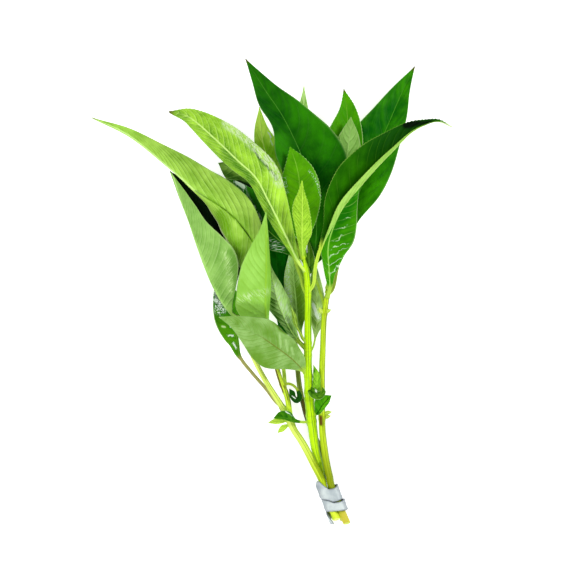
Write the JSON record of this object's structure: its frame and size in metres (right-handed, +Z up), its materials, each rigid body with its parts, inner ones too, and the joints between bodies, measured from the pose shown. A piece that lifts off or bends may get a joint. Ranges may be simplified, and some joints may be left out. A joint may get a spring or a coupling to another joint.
{
  "type": "bunch of willow hygrophila, an aquarium stem plant",
  "caption": "Tied bunch of cut willow hygrophila stems with long pointed leaves, lying flat, held by a wrapped strip of soft metal.",
  "frame": {"origin": "on the surface it lies on, under the middle of the bunch's length and width", "axes": "+Y runs from the tied cut ends to the leaf tips, +Z is up off the surface, and +X is to the right seen from above"},
  "size_m": [0.1804, 0.2334, 0.0577],
  "materials": {
    "deep_green_leaf": "living leaf, deep green upper face with a wet gloss, paler underside",
    "mid_green_leaf": "living leaf, mid green upper face with a wet gloss",
    "lime_leaf": "young leaf, bright lime with a pale midrib, soft gloss",
    "pale_leaf": "leaf underside, pale yellow green with fine veins, satin",
    "sage_leaf": "leaf underside, greyed sage green with fine veins, satin",
    "dull_leaf": "leaf underside in shade, dull green with pale veins",
    "neon_stem": "living stem, bright yellow green, satin",
    "yellow_stem": "living stem, pale yellow green, satin",
    "olive_stem": "living stem, olive green with a brown scar, satin",
    "dark_stem": "old stem, dark olive brown",
    "soft_metal": "soft plant weight metal, pale grey, dull with hand-bent dents"
  },
  "bodies": {
    "root": {"crown_leaf_left": "lime_leaf", "crown_leaf_young": "lime_leaf", "crown_leaf_middle": "mid_green_leaf", "crown_leaf_folded": "deep_green_leaf", "top_leaf_left": "deep_green_leaf", "top_leaf_right": "deep_green_leaf", "top_leaf_middle": "mid_green_leaf", "top_leaf_pale": "sage_leaf", "top_leaf_hidden": "sage_leaf", "top_leaf_small": "lime_leaf", "right_glossy_leaf": "mid_green_leaf", "left_long_leaf": "pale_leaf", "left_folded_leaf": "sage_leaf", "left_dark_leaf": "deep_green_leaf", "left_dull_leaf": "dull_leaf", "left_low_leaf": "deep_green_leaf", "front_pale_leaf": "pale_leaf", "front_low_leaf": "sage_leaf", "mid_pale_leaf": "sage_leaf", "mid_dark_leaf": "deep_green_leaf", "mid_shadow_leaf": "dull_leaf", "mid_right_leaf": "dull_leaf", "under_leaf_left": "deep_green_leaf", "under_leaf_middle": "deep_green_leaf", "under_leaf_right": "deep_green_leaf", "joint_leaf_right": "mid_green_leaf", "joint_leaf_curled": "deep_green_leaf", "joint_shoot": "lime_leaf", "joint_leaf_left": "deep_green_leaf", "joint_leaflet_a": "lime_leaf", "joint_leaflet_b": "lime_leaf", "curled_leaf": "deep_green_leaf", "axil_leaf": "lime_leaf", "bract_right_a": "lime_leaf", "bract_right_b": "lime_leaf", "bract_upper_right": "lime_leaf", "bract_upper_left": "lime_leaf", "main_stem": "neon_stem", "left_stem": "yellow_stem", "left_branch": "yellow_stem", "right_stem": "olive_stem", "back_stem": "dark_stem", "metal_strip": "soft_metal"}
  },
  "joints": []
}
